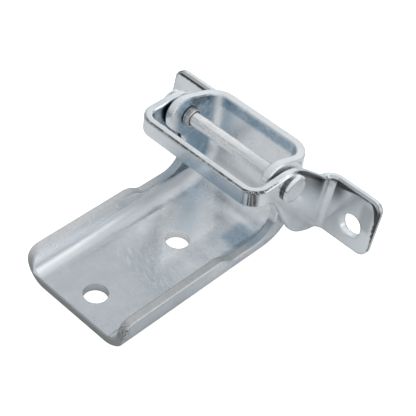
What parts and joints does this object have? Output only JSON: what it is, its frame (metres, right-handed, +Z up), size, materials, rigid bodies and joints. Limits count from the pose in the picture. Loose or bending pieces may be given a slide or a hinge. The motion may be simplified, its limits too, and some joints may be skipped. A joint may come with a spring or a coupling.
{
  "type": "truck door hinge",
  "caption": "Zinc-plated pressed steel door hinge: a flanged pan-shaped door leaf pinned between the ears of a bent frame bow with bolt tabs.",
  "frame": {"origin": "midway between the two bolt holes of the door leaf, on its underside", "axes": "+Z up from the flat underside along the leaf's bolt axes; +Y along the leaf from its free end towards the hinge pin; +X along the pin, square to the mirror plane"},
  "size_m": [0.1196, 0.1181, 0.0516],
  "materials": {
    "leaf_zinc": "bright bluish zinc plating with smudges and fine scratches",
    "bow_zinc": "bright bluish zinc plating",
    "pin_zinc": "bright zinc plating",
    "bushing_steel": "bright turned steel, slightly warmer than the plating"
  },
  "bodies": {
    "leaf": {"door_leaf": "leaf_zinc", "bushing_left": "bushing_steel", "bushing_right": "bushing_steel"},
    "bow": {"frame_bow": "bow_zinc", "hinge_pin": "pin_zinc"}
  },
  "joints": [
    {"name": "hinge", "type": "hinge", "parent": "leaf", "child": "bow", "pos_m": [0, 0.05025, 0.0422], "axis": [1, 0, 0], "range_deg": [-144, 87]}
  ]
}
